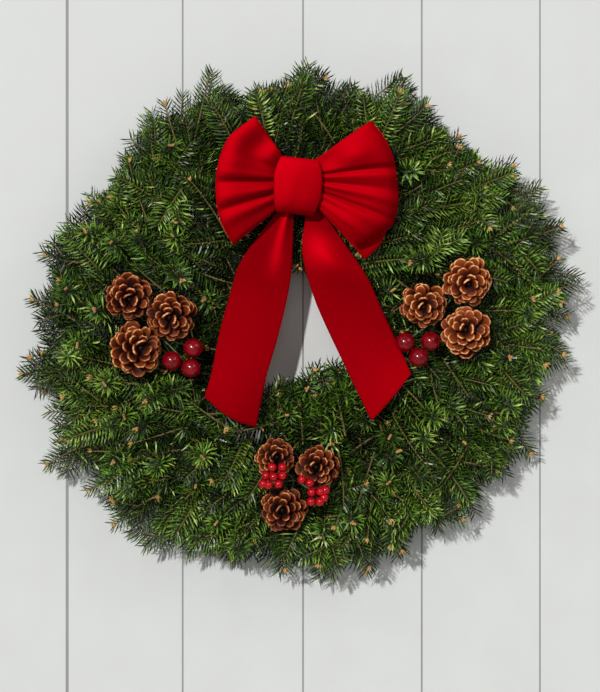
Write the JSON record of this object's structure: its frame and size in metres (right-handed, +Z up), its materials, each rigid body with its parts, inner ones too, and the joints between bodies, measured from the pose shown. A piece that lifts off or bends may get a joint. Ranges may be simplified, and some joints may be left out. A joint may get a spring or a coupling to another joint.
{
  "type": "fresh evergreen wreath",
  "caption": "Round fir wreath on a steel ring, dressed with a velvet bow, pine cones and berries, to hang from a hook.",
  "frame": {"origin": "where a hook bears, on the inside of the steel ring's top, behind the foliage", "axes": "+Z up, the front with the bow faces -Y, +X to the right as seen from the front"},
  "size_m": [0.622, 0.116, 0.5875],
  "materials": {
    "ring": "steel wire ring with a dark green coat",
    "winding": "thin green florist wire",
    "foliage": "fresh balsam fir: waxy green needles on tan-grey twigs",
    "cones": "dry pine cone scales, orange-brown with pale rims",
    "large_berries": "glossy dark red moulded berry",
    "small_berries": "glossy bright red moulded berries",
    "velvet_ribbon": "red velvet ribbon, soft sheen at grazing angles",
    "picks": "green paper-wrapped pick wire",
    "tie_wire": "green coated tie wire"
  },
  "bodies": {
    "root": {"wire_ring": "ring", "winding_wire": "winding", "fir_bunch_01": "foliage", "fir_bunch_02": "foliage", "fir_bunch_03": "foliage", "fir_bunch_04": "foliage", "fir_bunch_05": "foliage", "fir_bunch_06": "foliage", "fir_bunch_07": "foliage", "fir_bunch_08": "foliage", "fir_bunch_09": "foliage", "fir_bunch_10": "foliage", "fir_bunch_11": "foliage", "fir_bunch_12": "foliage", "fir_bunch_13": "foliage", "fir_bunch_14": "foliage", "cone_left_upper": "cones", "cone_left_inner": "cones", "cone_left_lower": "cones", "cone_right_inner": "cones", "cone_right_upper": "cones", "cone_right_lower": "cones", "cone_bottom_left": "cones", "cone_bottom_right": "cones", "cone_bottom_lower": "cones", "berry_left_upper": "large_berries", "berry_left_outer": "large_berries", "berry_left_lower": "large_berries", "berry_right_inner": "large_berries", "berry_right_outer": "large_berries", "berry_right_lower": "large_berries", "small_berries_left": "small_berries", "small_berries_right": "small_berries", "pick_left": "picks", "pick_right": "picks", "pick_bottom": "picks", "bow_loops": "velvet_ribbon", "bow_tails": "velvet_ribbon", "bow_knot": "velvet_ribbon", "bow_tie_wire": "tie_wire"}
  },
  "joints": []
}
